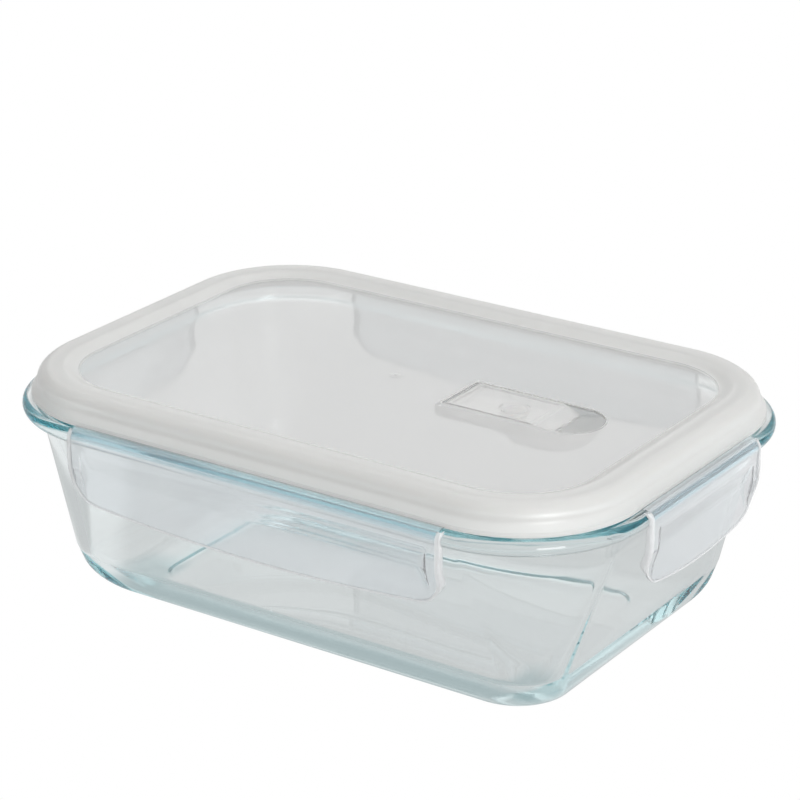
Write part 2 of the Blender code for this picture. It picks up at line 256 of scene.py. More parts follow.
def bump(tree, factor, strength, distance):
    """A bump from a factor, its normal output."""
    node = add(tree, "ShaderNodeBump", sockets={"Strength": strength, "Distance": distance})
    tree.links.new(factor, node.inputs["Height"])
    return node.outputs["Normal"]


def plastic(name, dark, light, rough, transmission, grain_scale=400.0, wave=0.15, ior=1.49,
            subsurface=0.0, coat=0.0):
    """Moulded polypropylene or silicone: cloudy colour, fine grain, soft waviness."""
    made, tree = new_material(name)
    shader = add(tree, "ShaderNodeBsdfPrincipled",
                 sockets={"Metallic": 0.0, "IOR": ior, "Transmission Weight": transmission,
                          "Coat Weight": coat, "Coat Roughness": 0.12,
                          "Subsurface Weight": subsurface, "Subsurface Scale": 0.004})
    out = add(tree, "ShaderNodeOutputMaterial")
    tree.links.new(tinted(tree, noise(tree, 35.0), dark, light), shader.inputs["Base Color"])
    tree.links.new(spread(tree, noise(tree, grain_scale, 5.0), *rough), shader.inputs["Roughness"])
    if wave:
        tree.links.new(bump(tree, noise(tree, 60.0), wave, 0.0002), shader.inputs["Normal"])
    tree.links.new(shader.outputs["BSDF"], out.inputs["Surface"])
    return made


def glass_material():
    """Pressed soda glass: clear, green-blue where light travels far inside it; its faint waviness is
    in the bowl's mesh.
    """
    made, tree = new_material("pressed_glass")
    shader = add(tree, "ShaderNodeBsdfPrincipled",
                 sockets={"IOR": 1.5, "Transmission Weight": 1.0, "Metallic": 0.0})
    inside = add(tree, "ShaderNodeVolumeAbsorption",
                 sockets={"Color": (0.10, 0.753, 0.82, 1.0), "Density": 6.6})
    out = add(tree, "ShaderNodeOutputMaterial")
    tree.links.new(tinted(tree, noise(tree, 12.0), (0.97, 0.985, 0.985), (1.0, 1.0, 1.0)),
                   shader.inputs["Base Color"])
    tree.links.new(spread(tree, noise(tree, 90.0), 0.003, 0.012), shader.inputs["Roughness"])
    tree.links.new(shader.outputs["BSDF"], out.inputs["Surface"])
    tree.links.new(inside.outputs["Volume"], out.inputs["Volume"])
    return made


MATERIALS = {
    "glass": glass_material(),
    "rim": plastic("frosted_polypropylene", (0.92, 0.92, 0.905), (0.945, 0.945, 0.93),
                   (0.285, 0.325), 0.45, grain_scale=30.0, wave=0.0),
    "panel": plastic("hazy_polypropylene", (0.905, 0.905, 0.90), (0.93, 0.925, 0.92),
                     (0.036, 0.060), 0.74, grain_scale=30.0, wave=0.0),
    # The vent's copy of the hazy plastic is coloured lighter than the panel's: painted light that
    # lifts the shade in the well and on the flap.
    "vent": plastic("hazy_polypropylene_vent_painted_lighter", (0.97, 0.97, 0.965), (0.99, 0.985, 0.98),
                    (0.100, 0.140), 0.74, grain_scale=30.0, wave=0.0, ior=1.15, coat=0.7),
    "latch": plastic("clear_polypropylene", (0.94, 0.965, 0.99), (0.97, 0.985, 1.0),
                     (0.036, 0.060), 0.84, grain_scale=30.0, wave=0.02),
    "edge": plastic("milky_polypropylene_edge", (0.94, 0.955, 0.965), (0.97, 0.98, 0.985),
                    (0.166, 0.188), 0.45, grain_scale=30.0, wave=0.0),
    # The latch's rolled top is tinged blue: a painted reflection of the teal glass bead it wraps
    # over.
    "roll": plastic("polypropylene_painted_bead_reflection", (0.76, 0.88, 0.94), (0.82, 0.92, 0.97),
                    (0.060, 0.090), 0.78, grain_scale=30.0, wave=0.0),
    "silicone": plastic("translucent_silicone", (0.82, 0.83, 0.82), (0.88, 0.885, 0.88),
                        (0.45, 0.60), 0.25, subsurface=0.2, ior=1.41),
}


# ---------------------------------------------------------------- mesh helpers

def finish_object(name, mesh, material, body, smooth_deg=40, replaces=()):
    """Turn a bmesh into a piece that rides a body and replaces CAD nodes."""
    data = bpy.data.meshes.new(name)
    mesh.to_mesh(data)
    mesh.free()
    data.materials.append(MATERIALS[material])
    data.shade_smooth()
    data.set_sharp_from_angle(angle=math.radians(smooth_deg))
    obj = bpy.data.objects.new(name, data)
    bpy.context.scene.collection.objects.link(obj)
    if body:
        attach(obj, body)
    if replaces:
        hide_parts(*replaces)
    return obj


def loft(rings, closed=False):
    """A closed mesh through rings of equal length; end rings are capped unless it closes."""
    mesh = bmesh.new()
    rows = [[mesh.verts.new(point) for point in row] for row in rings]
    pairs = list(zip(rows, rows[1:]))
    if closed:
        pairs.append((rows[-1], rows[0]))
    else:
        mesh.faces.new(rows[0])
        mesh.faces.new(rows[-1])
    for low, high in pairs:
        for k in range(len(low)):
            after = (k + 1) % len(low)
            mesh.faces.new((low[k], low[after], high[after], high[k]))
    bmesh.ops.recalc_face_normals(mesh, faces=mesh.faces)
    return mesh


def rounded_rectangle(half_x, half_y, radius):
    """Points round a rectangle: corner arcs, and evenly spaced points along the sides."""
    arcs = []
    for corner, (sx, sy) in enumerate(((1, 1), (-1, 1), (-1, -1), (1, -1))):
        points = []
        for step in range(CORNER_STEPS + 1):
            angle = math.pi / 2 * (corner + step / CORNER_STEPS)
            points.append(Vector((sx * (half_x - radius) + radius * math.cos(angle),
                                  sy * (half_y - radius) + radius * math.sin(angle))))
        arcs.append(points)
    outline = []
    for corner, points in enumerate(arcs):
        outline += points
        after = arcs[(corner + 1) % 4][0]
        outline += [points[-1].lerp(after, step / SIDE_STEPS) for step in range(1, SIDE_STEPS)]
    return outline


def ring(inset, z, radius=None):
    """One ring of the bowl, the lid or the seal."""
    if radius is None:
        radius = LID_CORNER_R - inset
    outline = rounded_rectangle(HALF_X - inset, HALF_Y - inset, radius)
    return [Vector((x, y, z)) for x, y in outline]


def arc(centre_inset, centre_z, radius, start_deg, end_deg, steps):
    """(inset, z) points on an arc; 0 degrees points outwards and 90 degrees up."""
    points = []
    for step in range(steps + 1):
        angle = math.radians(start_deg + (end_deg - start_deg) * step / steps)
        points.append((centre_inset - radius * math.cos(angle),
                       centre_z + radius * math.sin(angle)))
    return points


def ease(share):
    """Smooth 0..1 step."""
    share = min(max(share, 0.0), 1.0)
    return share * share * (3 - 2 * share)


# ---------------------------------------------------------------- bowl

def wall_inset(z):
    """Inset of the wall's outside at a height."""
    return NECK_INSET + (NECK_Z - z) * WALL_SLOPE


def base_fillet(offset, floor_z, radius, steps):
    """Arc from the floor into the sloping wall, floor end first."""
    slope = math.atan(WALL_SLOPE)
    top_z = floor_z + radius * (1 - math.sin(slope))
    centre_inset = wall_inset(top_z) + offset + radius * math.cos(slope)
    return arc(centre_inset, floor_z + radius, radius, -90, -math.degrees(slope), steps)


def corner_radius(z, thinner):
    """Corner radius of the wall: wide at the neck, tighter at the base."""
    share = min(max((z - BASE_FILLET_R) / (NECK_Z - BASE_FILLET_R), 0), 1)
    neck_r = LID_CORNER_R - NECK_INSET
    base_r = WALL_CORNER_R + (BASE_CORNER_R - WALL_CORNER_R) * max(1 - z / BASE_FILLET_R, 0)
    return base_r + (neck_r - base_r) * share - thinner


def wall_levels(low, high, steps):
    """(inset, z) points strictly between two ends of a straight wall."""
    return [(low[0] + (high[0] - low[0]) * k / steps, low[1] + (high[1] - low[1]) * k / steps)
            for k in range(1, steps)]


def wavy(points, amount):
    """Shift a ring in and out by a slow wave, as pressed glass does."""
    moved = []
    for point in points:
        wave = math.sin(point.x * 95 + point.z * 140) + math.sin(point.y * 120 - point.z * 90 + 1.3)
        direction = Vector((point.x / HALF_X, point.y / HALF_Y, 0))
        moved.append(point + direction * (amount * wave))
    return moved


def bowl_rings():
    """Outer foot, wall and rim, over the lip, and down the inside to the floor."""
    outer = base_fillet(0, 0, BASE_FILLET_R, 28)
    foot_inset = outer[0][0] + FOOT_WIDTH
    foot_r = BASE_CORNER_R - FOOT_WIDTH
    rings = [ring(foot_inset + 3 * FOOT_RECESS, FOOT_RECESS, foot_r - FOOT_RECESS),
             ring(foot_inset + 2 * FOOT_RECESS, FOOT_RECESS * 0.8, foot_r - FOOT_RECESS),
             ring(foot_inset + FOOT_RECESS, FOOT_RECESS * 0.2, foot_r),
             ring(foot_inset, 0, foot_r)]
    outer += wall_levels(outer[-1], (NECK_INSET, NECK_Z), 8)
    rings += [ring(inset, z, corner_radius(z, 0)) for inset, z in outer]
    bead_z = RIM_TOP_Z - RIM_BEAD_R
    under_z = bead_z - RIM_BEAD_R
    cove = []
    for step in range(9):
        angle = math.pi / 2 * step / 8
        cove.append((NECK_INSET - RIM_COVE_R * (1 - math.cos(angle)),
                     under_z - RIM_COVE_R * (1 - math.sin(angle))))
    bead = arc(RIM_BEAD_R - RIM_OUT, bead_z, RIM_BEAD_R, -90, 90, 36)
    lip_r = GLASS / 2
    lip = arc(LIP_INSET - lip_r / 2, RIM_TOP_Z + lip_r / 2, lip_r / 2, -90, -180, 5)
    lip += arc(LIP_INSET + lip_r, LIP_TOP_Z - lip_r, lip_r, 0, 180, 22)
    rings += [ring(inset, z) for inset, z in cove + bead + lip]
    across = GLASS / math.cos(math.atan(WALL_SLOPE))
    land_z = NECK_Z - (LIP_INSET + GLASS - NECK_INSET - across) / WALL_SLOPE
    fillet = list(reversed(base_fillet(across, BASE_THICKNESS, INNER_FILLET_R, 24)))
    land = (LIP_INSET + GLASS, land_z)
    rings.append(ring(land[0], LIP_TOP_Z - 3 * lip_r))
    rings.append(ring(*land))
    inner = wall_levels(land, fillet[0], 8) + fillet
    for inset, z in inner:
        rings.append(wavy(ring(inset, z, corner_radius(z, GLASS)), GLASS_WAVE))
    return rings


def make_bowl():
    """The glass bowl, one closed mesh."""
    finish_object("bowl_glass", loft(bowl_rings()), "glass", "bowl",
                  replaces=("glass_bowl",))


# ---------------------------------------------------------------- lid

def lid_rings():
    """Up the underside from the panel over the seal channel, round the skirt, and back on top."""
    roof_z = CREST_Z - LID_WALL
    under_z = PANEL_Z - PANEL_THICKNESS
    shoulder = SKIRT_DRAFT + LID_WALL
    under = [(PANEL_INSET + 0.0016, under_z), (PANEL_INSET + 0.0008, under_z),
             (PANEL_INSET, under_z), (PANEL_INSET - 0.0008, under_z + 0.0001),
             (CREST_INSET + LID_WALL / 2 + 0.0006, roof_z - 0.0002),
             (CREST_INSET + LID_WALL / 2, roof_z),
             (RIB_INSET + RIB_THICKNESS + 0.0004, roof_z),
             (RIB_INSET + RIB_THICKNESS, roof_z - 0.0004),
             (RIB_INSET + RIB_THICKNESS, RIB_Z + 0.0003),
             (RIB_INSET + RIB_THICKNESS - 0.0003, RIB_Z), (RIB_INSET + 0.0003, RIB_Z),
             (RIB_INSET, RIB_Z + 0.0003), (RIB_INSET, roof_z), (shoulder + LID_WALL, roof_z),
             (shoulder, CREST_Z - CREST_EDGE_R), (LID_WALL, SKIRT_Z + 0.0002),
             (LID_WALL - 0.0002, SKIRT_Z)]
    skirt = [(0.00025, SKIRT_Z), (0.0, SKIRT_Z + 0.00025), (0.0001, SKIRT_Z + 0.0017),
             (0.00045, SKIRT_Z + 0.0020), (SKIRT_DRAFT - 0.0004, CREST_Z - CREST_EDGE_R - 0.0008)]
    edge = arc(SKIRT_DRAFT + CREST_EDGE_R, CREST_Z - CREST_EDGE_R, CREST_EDGE_R, 0, 90, 14)
    edge = [(inset, z - groove(inset)) for inset, z in edge]
    rise = CREST_Z - PANEL_Z
    top = [(CREST_INSET - 0.0012, CREST_Z), (CREST_INSET, CREST_Z)]
    for step in range(1, 13):
        share = step / 12
        z = PANEL_Z + rise * (1 + math.cos(math.pi * share)) / 2
        top.append((CREST_INSET + (PANEL_INSET - CREST_INSET) * share, z))
    top += [(PANEL_INSET + 0.0008, PANEL_Z), (PANEL_INSET + 0.0016, PANEL_Z)]
    return [ring(inset, z) for inset, z in under + skirt + edge + top]


def groove(inset):
    """Depth of the fine line that runs round the rim's shoulder."""
    return 0.00012 * math.exp(-((inset - 0.0042) / 0.00035) ** 2)


def scoop_outline(round_x, half_width, start_x, z):
    """A D-shaped outline: straight at start_x, half round about round_x."""
    points = [Vector((start_x, half_width, z)), Vector((start_x, -half_width, z))]
    for step in range(ROUND_STEPS // 2 + 1):
        angle = math.pi * (step / (ROUND_STEPS // 2) - 0.5)
        points.append(Vector((round_x + half_width * math.cos(angle),
                              half_width * math.sin(angle), z)))
    return points


def scoop(wall, floor_z, high_z):
    """The finger scoop's space, or with a wall its outside, with a rounded floor edge."""
    lean = (SCOOP_TOP_X - SCOOP_FLOOR_X) / (PANEL_Z - SCOOP_FLOOR_Z)
    fillet = 0.0016 + wall
    rings = []
    for step in range(7):
        angle = math.pi / 2 * step / 6
        inset = fillet * (1 - math.sin(angle))
        z = floor_z + fillet * (1 - math.cos(angle))
        rings.append((inset, z))
    rings.append((0, high_z))
    outlines = []
    for inset, z in rings:
        round_x = SCOOP_FLOOR_X + lean * (z - SCOOP_FLOOR_Z)
        outlines.append(scoop_outline(round_x, WELL_HALF_WIDTH + wall - inset,
                                      SCOOP_START_X - wall + inset, z))
    return loft(outlines)


def rounded_box(low, high, radius):
    """A box with its upright and lower edges rounded."""
    half_x, half_y = (high[0] - low[0]) / 2, (high[1] - low[1]) / 2
    middle = Vector(((high[0] + low[0]) / 2, (high[1] + low[1]) / 2, 0))
    rings = []
    for step in range(6):
        angle = math.pi / 2 * step / 5
        inset, z = radius * (1 - math.sin(angle)), low[2] + radius * (1 - math.cos(angle))
        rings.append((inset, z))
    rings.append((0, high[2]))
    rows = []
    for inset, z in rings:
        row = []
        for corner, (sx, sy) in enumerate(((1, 1), (-1, 1), (-1, -1), (1, -1))):
            for step in range(6):
                turn = math.pi / 2 * (corner + step / 5)
                r = radius - inset * 0.98
                row.append(middle + Vector((sx * (half_x - radius) + r * math.cos(turn),
                                            sy * (half_y - radius) + r * math.sin(turn), z)))
        rows.append(row)
    return loft(rows)


def cylinder(centre, radius, length, axis="Z"):
    """A round bar about its centre, along Z or Y."""
    placing = Matrix.Translation(centre)
    if axis == "Y":
        placing = placing @ Matrix.Rotation(math.pi / 2, 4, "X")
    mesh = bmesh.new()
    bmesh.ops.create_cone(mesh, cap_ends=True, segments=ROUND_STEPS, radius1=radius,
                          radius2=radius, depth=length, matrix=placing)
    return mesh


def turned(profile, centre):
    """A solid turned about a vertical line from (radius, height) points."""
    rows = []
    for radius, z in profile:
        rows.append([Vector((centre[0] + radius * math.cos(2 * math.pi * k / ROUND_STEPS),
                             centre[1] + radius * math.sin(2 * math.pi * k / ROUND_STEPS),
                             z)) for k in range(ROUND_STEPS)])
    return loft(rows)


def boolean(target, mesh, operation):
    """Join or cut with a mesh and apply it straight away."""
    data = bpy.data.meshes.new("tool")
    mesh.to_mesh(data)
    mesh.free()
    tool = bpy.data.objects.new("tool", data)
    bpy.context.scene.collection.objects.link(tool)
    modifier = target.modifiers.new("shape", "BOOLEAN")
    modifier.operation = operation
    modifier.solver = "EXACT"
    modifier.object = tool
    apply_modifiers(target)
    bpy.data.objects.remove(tool, do_unlink=True)


def apply_modifiers(obj):
    """Replace an object's mesh by the mesh its modifiers make."""
    graph = bpy.context.evaluated_depsgraph_get()
    made = bpy.data.meshes.new_from_object(obj.evaluated_get(graph))
    obj.modifiers.clear()
    obj.data = made


def round_vent_edges(lid, width):
    """Round the sharp edges of the vent well's mouth, and leave the rim's mesh as it is."""
    mesh = bmesh.new()
    mesh.from_mesh(lid.data)
    low_x, high_x = WELL_START_X - 0.002, SCOOP_TOP_X + WELL_HALF_WIDTH + 0.004
    near = WELL_HALF_WIDTH + 0.002
    sharp = []
    for edge in mesh.edges:
        middle = (edge.verts[0].co + edge.verts[1].co) / 2
        inside = low_x < middle.x < high_x and abs(middle.y) < near
        if inside and abs(middle.z - PANEL_Z) < 0.0002 and len(edge.link_faces) == 2:
            if edge.calc_face_angle(0) > math.radians(50):
                sharp.append(edge)
    bmesh.ops.bevel(mesh, geom=sharp, offset=width, segments=3, affect="EDGES", profile=0.5)
    mesh.to_mesh(lid.data)
    mesh.free()
    lid.data.shade_smooth()
    lid.data.set_sharp_from_angle(angle=math.radians(38))
    even_normals(lid)


def even_normals(obj):
    """Let the large flat faces keep their own normals, so clear sheets don't bend light."""
    weighted = obj.modifiers.new("normals", "WEIGHTED_NORMAL")
    weighted.keep_sharp = True
    weighted.weight = 100
    apply_modifiers(obj)


def soften(obj, width, angle_deg=50, segments=2):
    """Round the sharp edges and even out the shading."""
    bevel = obj.modifiers.new("edges", "BEVEL")
    bevel.width = width
    bevel.segments = segments
    bevel.limit_method = "ANGLE"
    bevel.angle_limit = math.radians(angle_deg)
    bevel.harden_normals = False
    apply_modifiers(obj)
    obj.data.shade_smooth()
    obj.data.set_sharp_from_angle(angle=math.radians(50))
    even_normals(obj)


def make_lid():
    """The moulded lid with the vent well; the panel's faces get the clearer material."""
    lid = finish_object("lid_shell", loft(lid_rings()), "rim", "lid",
                        replaces=("lid",))
    buried_z = PANEL_Z - PANEL_THICKNESS / 2
    above_z = PANEL_Z + PANEL_THICKNESS
    outside = WELL_HALF_WIDTH + VENT_WALL
    boss = 0.0021 + VENT_WALL
    start = WELL_START_X - VENT_WALL
    boolean(lid, rounded_box((start, -outside, WELL_FLOOR_Z - VENT_WALL),
                             (SCOOP_START_X + VENT_WALL, outside, buried_z), 0.0018), "UNION")
    boolean(lid, scoop(VENT_WALL, SCOOP_FLOOR_Z - VENT_WALL, buried_z), "UNION")
    boolean(lid, rounded_box((start, -outside - PIVOT_BOSS, PIVOT.z - boss),
                             (PIVOT.x + boss, outside + PIVOT_BOSS, buried_z), 0.0010), "UNION")
    boolean(lid, rounded_box((WELL_START_X, -WELL_HALF_WIDTH, WELL_FLOOR_Z),
                             (SCOOP_START_X + 0.0003, WELL_HALF_WIDTH, above_z), 0.0006),
            "DIFFERENCE")
    boolean(lid, scoop(0, SCOOP_FLOOR_Z, above_z), "DIFFERENCE")
    boolean(lid, cylinder(PIVOT, 0.0012, 2 * (WELL_HALF_WIDTH + PIVOT_BOSS), axis="Y"),
            "DIFFERENCE")
    vent_x = (PLUG_LOW.x + PLUG_HIGH.x) / 2
    boolean(lid, cylinder((vent_x, 0, WELL_FLOOR_Z), VENT_HOLE_R, 4 * VENT_WALL), "DIFFERENCE")
    pip = [(radius, PANEL_Z + height) for radius, height in PIP]
    boolean(lid, turned(pip, (0, 0)), "UNION")
    lid.data.materials.clear()
    lid.data.materials.append(MATERIALS["rim"])
    lid.data.materials.append(MATERIALS["panel"])
    lid.data.materials.append(MATERIALS["vent"])
    edge_x, edge_y = HALF_X - PANEL_INSET + 0.0015, HALF_Y - PANEL_INSET + 0.0015
    for face in lid.data.polygons:
        inside = all(abs(lid.data.vertices[v].co.x) < edge_x and
                     abs(lid.data.vertices[v].co.y) < edge_y for v in face.vertices)
        face.material_index = 1 if inside and corner_distance(lid.data, face) < 0.0006 else 0
        # The vent well's faces take the vent plastic, painted lighter to lift their shade.
        if face.area < 0.0008 and in_vent(face.center):
            face.material_index = 2
    round_vent_edges(lid, VENT_EDGE_R)


def in_vent(point):
    """Whether a point belongs to the walls and floors of the vent well."""
    reach = WELL_HALF_WIDTH + VENT_WALL + PIVOT_BOSS + 0.001
    along = WELL_START_X - VENT_WALL - 0.001 < point.x < SCOOP_TOP_X + reach
    return along and abs(point.y) < reach and point.z < PANEL_Z - 0.0002


def corner_distance(data, face):
    """How far the face's furthest corner lies outside the panel's rounded outline."""
    radius = LID_CORNER_R - PANEL_INSET
    most = -1.0
    for v in face.vertices:
        x, y = abs(data.vertices[v].co.x), abs(data.vertices[v].co.y)
        dx = max(x - (HALF_X - PANEL_INSET - radius), 0)
        dy = max(y - (HALF_Y - PANEL_INSET - radius), 0)
        most = max(most, math.hypot(dx, dy) - radius)
    return most


def make_gasket():
    """The silicone ring with two sealing beads pressed towards the glass lip."""
    outer, inner = LIP_INSET + GAP, RIB_INSET - GAP
    low_z, high_z = LIP_TOP_Z + GAP, CREST_Z - LID_WALL - GAP
    middle, height = (outer + inner) / 2, high_z - low_z
    section = arc(inner - height / 4, low_z + height / 4, height / 4, -180, -90, 5)
    section += [(middle + 0.0003, low_z), (middle, low_z + height / 5), (middle - 0.0003, low_z)]
    section += arc(outer + height / 4, low_z + height / 4, height / 4, -90, 0, 5)
    section += [(outer + height / 2, high_z), (inner, high_z)]
    finish_object("seal_ring", loft([ring(i, z) for i, z in section], closed=True), "silicone",
                  "lid", replaces=("lid_gasket",))


# ---------------------------------------------------------------- latches

def bead_clear(z):
    """The least distance out at a height that keeps clear of the glass rim's bead."""
    centre_z, centre_out = RIM_TOP_Z - RIM_BEAD_R, RIM_OUT - RIM_BEAD_R
    reach = RIM_BEAD_R + LATCH_GAP
    drop = z - centre_z
    if abs(drop) >= reach:
        return -1.0
    return centre_out + math.sqrt(reach * reach - drop * drop)


def between(points, z):
    """The value at a height on a line through (height, value) points, lowest first."""
    if z <= points[0][0]:
        return points[0][1]
    for (low_z, low), (high_z, high) in zip(points, points[1:]):
        if z <= high_z:
            return low + (high - low) * (z - low_z) / (high_z - low_z)
    return points[-1][1]


def soft_max(a, b, width):
    """The larger of two values, rounded over where they meet."""
    share = max(width - abs(a - b), 0) / width
    return max(a, b) + share * share * width / 4


def plate_out(z, from_end):
    """How far out the latch's face stands at a height and a distance from its end."""
    side = between(LATCH_SIDE, z)
    middle = between(LATCH_MIDDLE, z)
    foot, top = LATCH_CHEEK_Z
    share = min(max((z - foot) / (top - foot), 0), 1)
    cheek = LATCH_CHEEK[0] + (LATCH_CHEEK[1] - LATCH_CHEEK[0]) * share
    leg = side - max(from_end - cheek, 0) * LATCH_LEG_SLOPE
    return min(side, soft_max(middle, leg, 0.0005))


def latch_rows(half_length):
    """(height at the middle, half width, how much the lower edge's bow applies) per row."""
    bead_z = RIM_TOP_Z - RIM_BEAD_R
    reach = RIM_BEAD_R + LATCH_GAP + LATCH_WALL
    rows = []
    for step in range(9):
        angle = math.radians(LATCH_TOP_DEG * (1 - step / 8))
        rows.append((bead_z + reach * math.sin(angle), half_length, 0.0))
    corner_z = LATCH_TIP_Z + LATCH_CORNER_R
    for step in range(1, 33):
        z = bead_z + (corner_z - bead_z) * step / 32
        rows.append((z, half_length, ease((bead_z - z) / (bead_z - corner_z))))
    for step in range(1, 13):
        angle = math.pi / 2 * step / 12
        rows.append((corner_z - LATCH_CORNER_R * math.sin(angle),
                     half_length - LATCH_CORNER_R * (1 - math.cos(angle)), 1.0))
    return rows


def latch_columns(half_length):
    """Places along a latch, close together near its ends."""
    places = [half_length - LATCH_FOLD_R - LATCH_COLUMN_STEP * k for k in range(24)]
    places += [places[-1] * (1 - k / 16) for k in range(1, 17)]
    return [-place for place in places] + list(reversed(places[:-1]))


def end_wall(z, out, side, width, share_down):
    """Points of the end wall that folds back from the face at one row."""
    room = max(out - bead_clear(z), LATCH_WALL * 0.6)
    depth = min(between(LATCH_END_DEPTH, z), room) * (1 - ease(1.5 * share_down))
    depth = max(depth, LATCH_WALL * 0.3)
    fold = min(LATCH_FOLD_R, 0.6 * depth)
    points = []
    for k in range(1, 5):
        angle = math.pi / 2 * k / 4
        points.append((side * (width - LATCH_FOLD_R + fold * math.sin(angle)),
                       out - fold * (1 - math.cos(angle)), z))
    for k in range(1, 4):
        points.append((side * (width - LATCH_FOLD_R + fold), out - fold - (depth - fold) * k / 3,
                       z))
    return points


def face_out(z, from_end):
    """The face of the latch, which follows the bead above its widest point."""
    bead_z = RIM_TOP_Z - RIM_BEAD_R
    if z <= bead_z:
        return plate_out(z, from_end)
    reach = RIM_BEAD_R + LATCH_GAP + LATCH_WALL
    return RIM_OUT - RIM_BEAD_R + math.sqrt(max(reach * reach - (z - bead_z) ** 2, 0))


def make_latch(name, joint_name, half_length, node):
    """A latch: one curved sheet with folded ends, thickened inwards, on its own body."""
    joint = JOINTS[joint_name]
    place = Vector(joint["pos_m"])
    outward = Vector((place.x, place.y, 0)).normalized()
    sideways = Vector((-outward.y, outward.x, 0))
    base = outward * (Vector((place.x, place.y, 0)).length - HINGE_OUT)
    mesh = bmesh.new()
    grid = []
    corner_z = LATCH_TIP_Z + LATCH_CORNER_R
    for z_row, width, bow in latch_rows(half_length):
        share_down = (corner_z - z_row) / LATCH_CORNER_R
        across = []
        for column in latch_columns(half_length):
            along = column * (width - LATCH_FOLD_R) / (half_length - LATCH_FOLD_R)
            z = z_row + bow * LATCH_TIP_RISE * (along / half_length) ** 2
            across.append((along, face_out(z, half_length - abs(along)), z))
        near = end_wall(across[0][2], across[0][1], -1, width, share_down)
        far = end_wall(across[-1][2], across[-1][1], 1, width, share_down)
        across = list(reversed(near)) + across + far
        grid.append([mesh.verts.new(base + sideways * a + outward * o + Vector((0, 0, z)))
                     for a, o, z in across])
    last = len(grid[0]) - 1
    for row, (upper, lower) in enumerate(zip(grid, grid[1:])):
        for k in range(last):
            face = mesh.faces.new((upper[k], lower[k], lower[k + 1], upper[k + 1]))
            if min(k, last - 1 - k) < LATCH_EDGE_COLUMNS or row >= len(grid) - LATCH_EDGE_ROWS:
                face.material_index = 1
            # Rows that roll over the bead take the blue-tinged plastic, a painted reflection of the
            # bead.
            elif row < LATCH_ROLL_ROWS:
                face.material_index = 2
    bmesh.ops.recalc_face_normals(mesh, faces=mesh.faces)
    mesh.faces.ensure_lookup_table()
    middle = mesh.faces[len(mesh.faces) // 2]
    if middle.normal.dot(outward) < 0:
        bmesh.ops.reverse_faces(mesh, faces=mesh.faces)
    latch = finish_object(name, mesh, "latch", joint["child"], replaces=(node,))
    latch.data.materials.append(MATERIALS["edge"])
    latch.data.materials.append(MATERIALS["roll"])
    thin = latch.vertex_groups.new(name="wall")
    for vertex in latch.data.vertices:
        share = ease((LATCH_THIN_Z - vertex.co.z) / LATCH_TAPER)
        weight = LATCH_THIN_SHARE + (1 - LATCH_THIN_SHARE) * share
        thin.add([vertex.index], weight, "REPLACE")
    shell = latch.modifiers.new("wall", "SOLIDIFY")
    shell.thickness = LATCH_WALL
    shell.offset = -1
    shell.use_even_offset = False
    shell.vertex_group = "wall"
    apply_modifiers(latch)
    soften(latch, LATCH_EDGE_R, angle_deg=60)


def make_film(name, joint_name, half_length):
    """The living hinge: a thin strip that bends between the skirt and a latch."""
    joint = JOINTS[joint_name]
    place = Vector(joint["pos_m"])
    outward = Vector((place.x, place.y, 0)).normalized()
    sideways = Vector((-outward.y, outward.x, 0))
    skirt = place - outward * (HINGE_OUT - 0.0001)
    edge = place + outward * FILM_REACH - Vector((0, 0, FILM_DROP))
    path = [skirt.lerp(edge, k / 8) + Vector((0, 0, FILM_ARCH * math.sin(math.pi * k / 8)))
            for k in range(9)]
    lower = [point - Vector((0, 0, FILM_THICKNESS)) for point in reversed(path)]
    section = [point + Vector((0, 0, FILM_THICKNESS / 2)) for point in path]
    section += [point + Vector((0, 0, FILM_THICKNESS / 2)) for point in lower]
    rows = [[point + sideways * along for point in section]
            for along in (-half_length, -half_length / 2, 0, half_length / 2, half_length)]
    film = finish_object(name, loft(rows), "latch", None)
    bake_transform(film)


def make_latches():
    """The four latches and the four hinge films."""
    for side in ("front", "rear", "left", "right"):
        low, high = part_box(f"latch_{side}")
        half_length = (high.x if side in ("front", "rear") else high.y)
        make_latch(f"{side}_latch", f"latch_{side}_hinge", half_length, f"latch_{side}")
        make_film(f"{side}_hinge_film", f"latch_{side}_hinge", half_length - FILM_SHORTER)


# ---------------------------------------------------------------- vent

